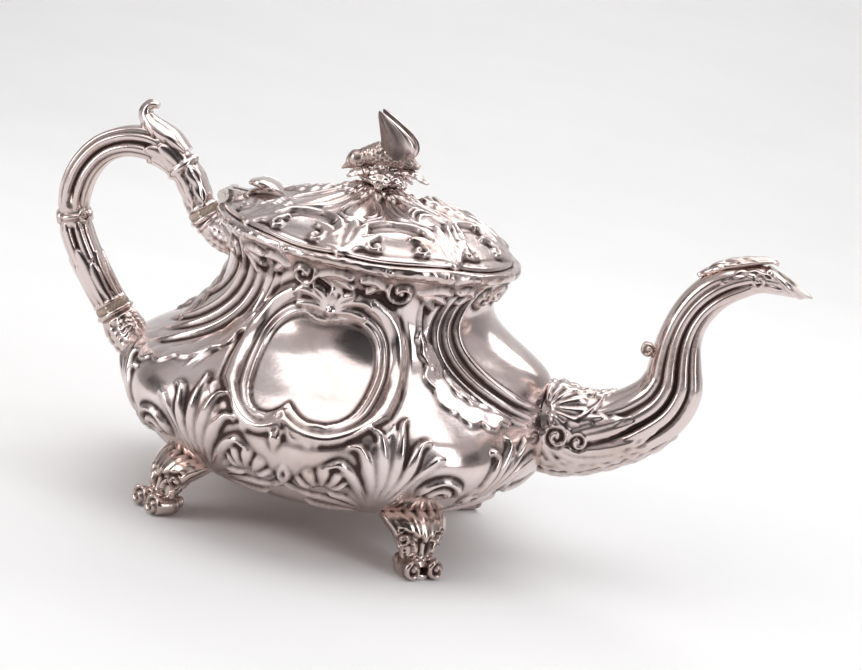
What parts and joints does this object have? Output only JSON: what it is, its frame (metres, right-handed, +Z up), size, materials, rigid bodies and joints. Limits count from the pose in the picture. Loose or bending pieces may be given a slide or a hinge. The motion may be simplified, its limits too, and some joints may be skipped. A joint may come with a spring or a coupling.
{
  "type": "teapot",
  "caption": "Squat lobed silver teapot on scroll feet, with a swan-necked spout, loop handle with ivory insulators and a hinged domed lid with a bird finial.",
  "frame": {"origin": "the point on the table under the body's centre line", "axes": "+X the way the spout points, +Z up, +Y to the left seen from behind the handle"},
  "size_m": [0.3045, 0.1798, 0.1665],
  "materials": {
    "silver": "raised and chased silver, polished on the high parts with dark tarnish in the hollows",
    "cast_silver": "cast silver, a little softer polish, tarnish in the hollows",
    "plain_silver": "plain turned silver, dulled",
    "ivory": "aged ivory, satin polish"
  },
  "bodies": {
    "pot": {"body_shell": "silver", "mouth_rim": "cast_silver", "strainer": "plain_silver", "spout": "cast_silver", "spout_beak_leaf": "cast_silver", "spout_bend_scroll": "cast_silver", "handle_socket_upper": "cast_silver", "insulator_upper": "ivory", "handle_loop": "cast_silver", "handle_cap_leaf": "cast_silver", "insulator_lower": "ivory", "handle_socket_lower": "cast_silver", "insulator_pins": "plain_silver", "hinge_knuckles_body": "silver", "hinge_pin": "plain_silver", "foot_front_left": "cast_silver", "foot_front_right": "cast_silver", "foot_back_left": "cast_silver", "foot_back_right": "cast_silver"},
    "lid": {"lid_shell": "silver", "lid_bezel": "plain_silver", "hinge_knuckles_lid": "silver", "hinge_thumbpiece": "cast_silver", "finial_perch": "cast_silver", "finial_bird": "cast_silver", "finial_stud": "plain_silver", "finial_nut": "plain_silver"}
  },
  "joints": [
    {"name": "lid_hinge", "type": "hinge", "parent": "pot", "child": "lid", "pos_m": [-0.0595, 0, 0.1198], "axis": [0, -1, 0], "range_deg": [0, 85]}
  ]
}
